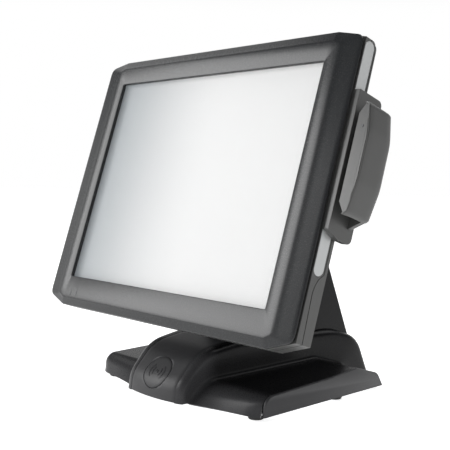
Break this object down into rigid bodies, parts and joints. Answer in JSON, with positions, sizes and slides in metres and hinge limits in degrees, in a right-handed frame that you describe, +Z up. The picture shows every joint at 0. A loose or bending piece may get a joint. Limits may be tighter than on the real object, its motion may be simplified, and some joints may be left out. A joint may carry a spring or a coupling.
{
  "type": "pos touchscreen terminal",
  "caption": "Countertop point-of-sale terminal: tilting touch screen head with a side card reader on a leaning neck and a wide low base with a contactless reading panel.",
  "frame": {"origin": "on the counter under the middle of the base, at x of the symmetry plane, below the middle of the base's depth", "axes": "+Z up, -Y towards the operator facing the screen, +X to the operator's right"},
  "size_m": [0.4098, 0.273, 0.3571],
  "materials": {
    "bezel_plastic": "satin, finely textured",
    "housing_plastic": "satin, finely textured",
    "silver_trim": "satin metallic lacquer",
    "base_plastic": "satin",
    "base_grey_plastic": "satin",
    "screen_glass": "anti-glare",
    "display": "lit white display surface",
    "black_rubber": "matte",
    "zinc_steel": "zinc plated",
    "black_steel": "black powder coat",
    "cast_weight": "painted cast iron",
    "circuit_board": "solder mask",
    "heat_sink_metal": "extruded",
    "connector_metal": "nickel plated",
    "connector_plastic": "moulded",
    "light_pipe": "clear tinted",
    "speaker_black": "moulded",
    "bronze_bush": "sintered bronze"
  },
  "bodies": {
    "base": {"base_shell": "base_plastic", "end_panel_left": "base_grey_plastic", "end_panel_right": "base_grey_plastic", "front_panel": "base_grey_plastic", "contactless_mark": "base_grey_plastic", "antenna_board": "circuit_board", "base_plate": "zinc_steel", "ballast_plate": "cast_weight", "power_supply": "black_steel", "feet": "black_rubber", "base_screws": "zinc_steel", "neck_shell": "base_plastic", "neck_rear_cover": "base_plastic", "neck_core": "black_steel", "core_tie_rods": "zinc_steel", "core_bolts": "zinc_steel", "friction_bushes": "bronze_bush"},
    "head": {"front_bezel": "bezel_plastic", "status_light_pipes": "light_pipe", "screen_gasket": "black_rubber", "touch_glass": "screen_glass", "lcd_panel": "display", "side_frame": "housing_plastic", "side_inlay_right": "silver_trim", "side_inlay_left": "silver_trim", "rear_cover": "housing_plastic", "rear_cover_screws": "black_steel", "lan_jack": "connector_metal", "usb_sockets": "connector_metal", "serial_socket": "connector_metal", "printer_socket": "connector_metal", "power_inlet": "connector_plastic", "chassis_plate": "zinc_steel", "main_board": "circuit_board", "heat_sink": "heat_sink_metal", "storage_drive": "zinc_steel", "touch_controller_board": "circuit_board", "power_switch_board": "circuit_board", "speakers": "speaker_black", "hinge_head_bracket": "black_steel", "bracket_bolts": "zinc_steel", "hinge_shaft": "zinc_steel", "hinge_nuts": "zinc_steel", "reader_wall": "housing_plastic", "reader_cover": "bezel_plastic", "reader_lens": "light_pipe", "reader_housing": "bezel_plastic", "reader_board": "circuit_board", "pickup_leaf_spring": "zinc_steel"},
    "power_button": {"power_button": "bezel_plastic"},
    "magnetic_pickup": {"magnetic_pickup": "zinc_steel"}
  },
  "joints": [
    {"name": "head_tilt", "type": "hinge", "parent": "base", "child": "head", "pos_m": [0, -0.02164, 0.17661], "axis": [-1, 0, 0], "range_deg": [-9, 45]},
    {"name": "power_button_press", "type": "slide", "parent": "head", "child": "power_button", "axis": [1, 0, 0], "range_m": [0, 0.0016], "stiffness_N_per_m": 900, "springref_m": -0.0008},
    {"name": "pickup_float", "type": "slide", "parent": "head", "child": "magnetic_pickup", "axis": [1, 0, 0], "range_m": [0, 0.0008], "stiffness_N_per_m": 1200, "springref_m": -0.0006}
  ]
}
